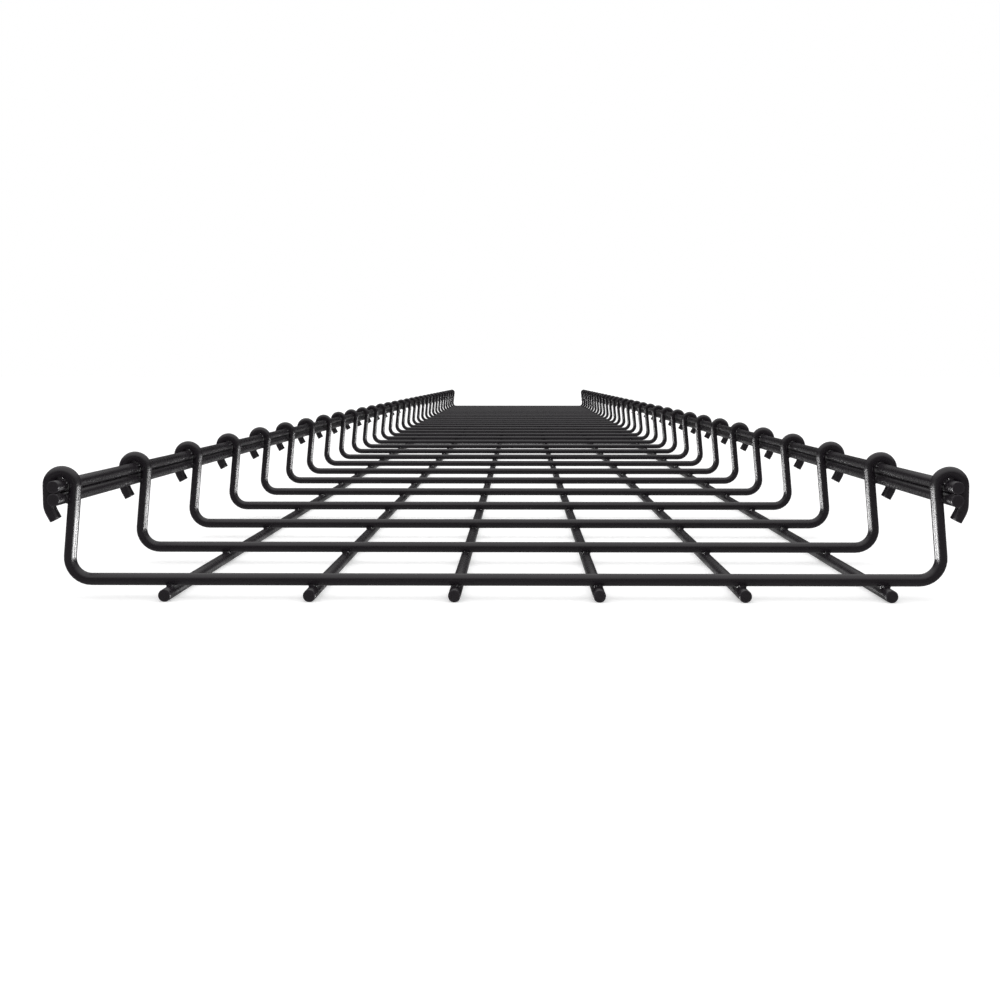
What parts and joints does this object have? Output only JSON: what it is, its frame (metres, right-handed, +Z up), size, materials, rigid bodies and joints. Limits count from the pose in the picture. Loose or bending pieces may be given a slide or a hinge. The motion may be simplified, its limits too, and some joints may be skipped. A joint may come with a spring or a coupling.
{
  "type": "wire mesh cable basket",
  "caption": "Straight length of black wire mesh cable basket: U-shaped cross wires whose ends hook over rail wires, welded on straight floor wires, open at both ends.",
  "frame": {"origin": "on the floor under the basket, midway along and across, level with the undersides of the floor wires", "axes": "+X across the basket, +Y along it, +Z up out of the open top"},
  "size_m": [0.3226, 3.02, 0.0465],
  "materials": {
    "black_powder_coat": "satin black powder coat on steel wire"
  },
  "bodies": {
    "root": {"cross_wire_01": "black_powder_coat", "cross_wire_02": "black_powder_coat", "cross_wire_03": "black_powder_coat", "cross_wire_04": "black_powder_coat", "cross_wire_05": "black_powder_coat", "cross_wire_06": "black_powder_coat", "cross_wire_07": "black_powder_coat", "cross_wire_08": "black_powder_coat", "cross_wire_09": "black_powder_coat", "cross_wire_10": "black_powder_coat", "cross_wire_11": "black_powder_coat", "cross_wire_12": "black_powder_coat", "cross_wire_13": "black_powder_coat", "cross_wire_14": "black_powder_coat", "cross_wire_15": "black_powder_coat", "cross_wire_16": "black_powder_coat", "cross_wire_17": "black_powder_coat", "cross_wire_18": "black_powder_coat", "cross_wire_19": "black_powder_coat", "cross_wire_20": "black_powder_coat", "cross_wire_21": "black_powder_coat", "cross_wire_22": "black_powder_coat", "cross_wire_23": "black_powder_coat", "cross_wire_24": "black_powder_coat", "cross_wire_25": "black_powder_coat", "cross_wire_26": "black_powder_coat", "cross_wire_27": "black_powder_coat", "cross_wire_28": "black_powder_coat", "cross_wire_29": "black_powder_coat", "cross_wire_30": "black_powder_coat", "cross_wire_31": "black_powder_coat", "floor_wire_1": "black_powder_coat", "floor_wire_2": "black_powder_coat", "floor_wire_3": "black_powder_coat", "floor_wire_4": "black_powder_coat", "floor_wire_5": "black_powder_coat", "floor_wire_6": "black_powder_coat", "left_upper_rail": "black_powder_coat", "left_lower_rail": "black_powder_coat", "right_upper_rail": "black_powder_coat", "right_lower_rail": "black_powder_coat"}
  },
  "joints": []
}
